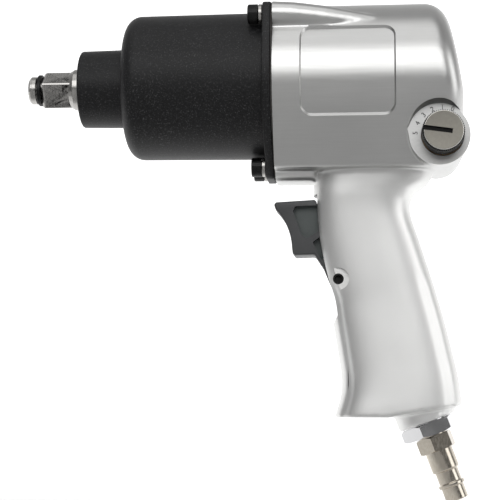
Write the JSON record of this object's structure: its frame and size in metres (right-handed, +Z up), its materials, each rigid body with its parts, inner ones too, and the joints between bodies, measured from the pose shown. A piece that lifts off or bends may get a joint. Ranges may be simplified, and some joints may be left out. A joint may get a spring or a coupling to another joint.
{
  "type": "air impact wrench",
  "caption": "Pistol-grip pneumatic impact wrench with a half-inch square drive, black hammer case, cast aluminium housing, trigger, regulator knob and quick-connect air plug.",
  "frame": {"origin": "centre of the end face of the square drive, on the drive's axis", "axes": "-X out of the drive towards the socket, +Z up from the grip towards the motor, +Y away from the side with the regulator knob"},
  "size_m": [0.2019, 0.0776, 0.2271],
  "materials": {
    "cast_aluminium": "polished and satin cast aluminium",
    "black_case": "fine-textured matte black coating",
    "black_oxide": "black oxide, slightly oily",
    "drive_steel": "ground and hardened steel",
    "steel": "machined",
    "motor_iron": "ground",
    "chrome": "bright chrome",
    "nickel_plate": "worn nickel plate",
    "bronze": "machined",
    "trigger_plastic": "moulded, fine grain",
    "knob_metal": "turned grey face, black knurled skirt",
    "rubber": "moulded",
    "gasket_paper": "pressed fibre sheet",
    "vane_fibre": "phenolic fibre",
    "felt": "coarse felt"
  },
  "bodies": {
    "housing": {"motor_housing": "cast_aluminium", "hammer_case": "black_case", "nose_bushing": "bronze", "case_gasket": "gasket_paper", "case_bolt_1": "black_oxide", "case_bolt_2": "black_oxide", "case_bolt_3": "black_oxide", "case_bolt_4": "black_oxide", "lock_washer_1": "black_oxide", "lock_washer_2": "black_oxide", "lock_washer_3": "black_oxide", "lock_washer_4": "black_oxide", "front_end_plate": "motor_iron", "rear_end_plate": "motor_iron", "rear_seal": "gasket_paper", "front_bearing": "steel", "rear_bearing": "steel", "cylinder_liner": "motor_iron", "motor_dowel": "steel", "trigger_pin": "steel", "throttle_seat": "bronze", "inlet_screen": "bronze", "throttle_spring": "steel", "inlet_oring": "rubber", "inlet_bushing": "chrome", "air_plug": "nickel_plate", "valve_bushing": "bronze", "valve_retaining_ring": "steel", "valve_end_cap": "black_oxide", "exhaust_muffler": "felt", "exhaust_deflector": "black_oxide"},
    "drive_train": {"rotor": "steel", "hammer_frame": "steel", "hammer_pin_top": "steel", "hammer_pin_low": "steel", "vane_1": "vane_fibre", "vane_2": "vane_fibre", "vane_3": "vane_fibre", "vane_4": "vane_fibre", "vane_5": "vane_fibre", "vane_6": "vane_fibre"},
    "anvil": {"anvil": "drive_steel", "socket_ring": "black_oxide", "socket_ring_oring": "rubber"},
    "front_hammer": {"hammer_front": "steel"},
    "rear_hammer": {"hammer_rear": "steel"},
    "trigger": {"trigger": "trigger_plastic"},
    "throttle_rod": {"throttle_rod": "steel"},
    "throttle_valve": {"throttle_valve": "steel"},
    "regulator": {"regulator_knob": "knob_metal", "valve_spool": "steel", "detent_ball": "steel", "detent_spring": "steel"}
  },
  "joints": [
    {"name": "rotor_spin", "type": "hinge", "parent": "housing", "child": "drive_train", "pos_m": [0.144, 0, 0], "axis": [1, 0, 0], "continuous": true},
    {"name": "anvil_spin", "type": "hinge", "parent": "housing", "child": "anvil", "pos_m": [0.038, 0, 0], "axis": [1, 0, 0], "continuous": true},
    {"name": "front_hammer_rock", "type": "hinge", "parent": "drive_train", "child": "front_hammer", "pos_m": [0.07, 0, 0.0235], "axis": [1, 0, 0], "range_deg": [-4, 4]},
    {"name": "rear_hammer_rock", "type": "hinge", "parent": "drive_train", "child": "rear_hammer", "pos_m": [0.089, 0, -0.0235], "axis": [1, 0, 0], "range_deg": [-4, 4]},
    {"name": "trigger_pull", "type": "hinge", "parent": "housing", "child": "trigger", "pos_m": [0.1434, 0, -0.09], "axis": [0, 1, 0], "range_deg": [0, 9], "stiffness_Nm_per_rad": 0.6, "springref_deg": -14.32},
    {"name": "throttle_rod_slide", "type": "slide", "parent": "housing", "child": "throttle_rod", "axis": [1, 0, 0], "range_m": [0, 0.0017]},
    {"name": "throttle_valve_tilt", "type": "hinge", "parent": "housing", "child": "throttle_valve", "pos_m": [0.16024, 0, -0.11266], "axis": [0, 1, 0], "range_deg": [0, 2.8], "deforming": ["throttle_spring"]},
    {"name": "regulator_turn", "type": "hinge", "parent": "housing", "child": "regulator", "pos_m": [0.1898, 0, -0.0282], "axis": [0, 1, 0], "range_deg": [-15, 165]}
  ],
  "couplings": [
    {"joint": "anvil_spin", "follows": "rotor_spin", "ratio": 1},
    {"joint": "throttle_rod_slide", "follows": "trigger_pull", "m_per_rad": 0.0105},
    {"joint": "throttle_valve_tilt", "follows": "trigger_pull", "ratio": 0.2983}
  ]
}
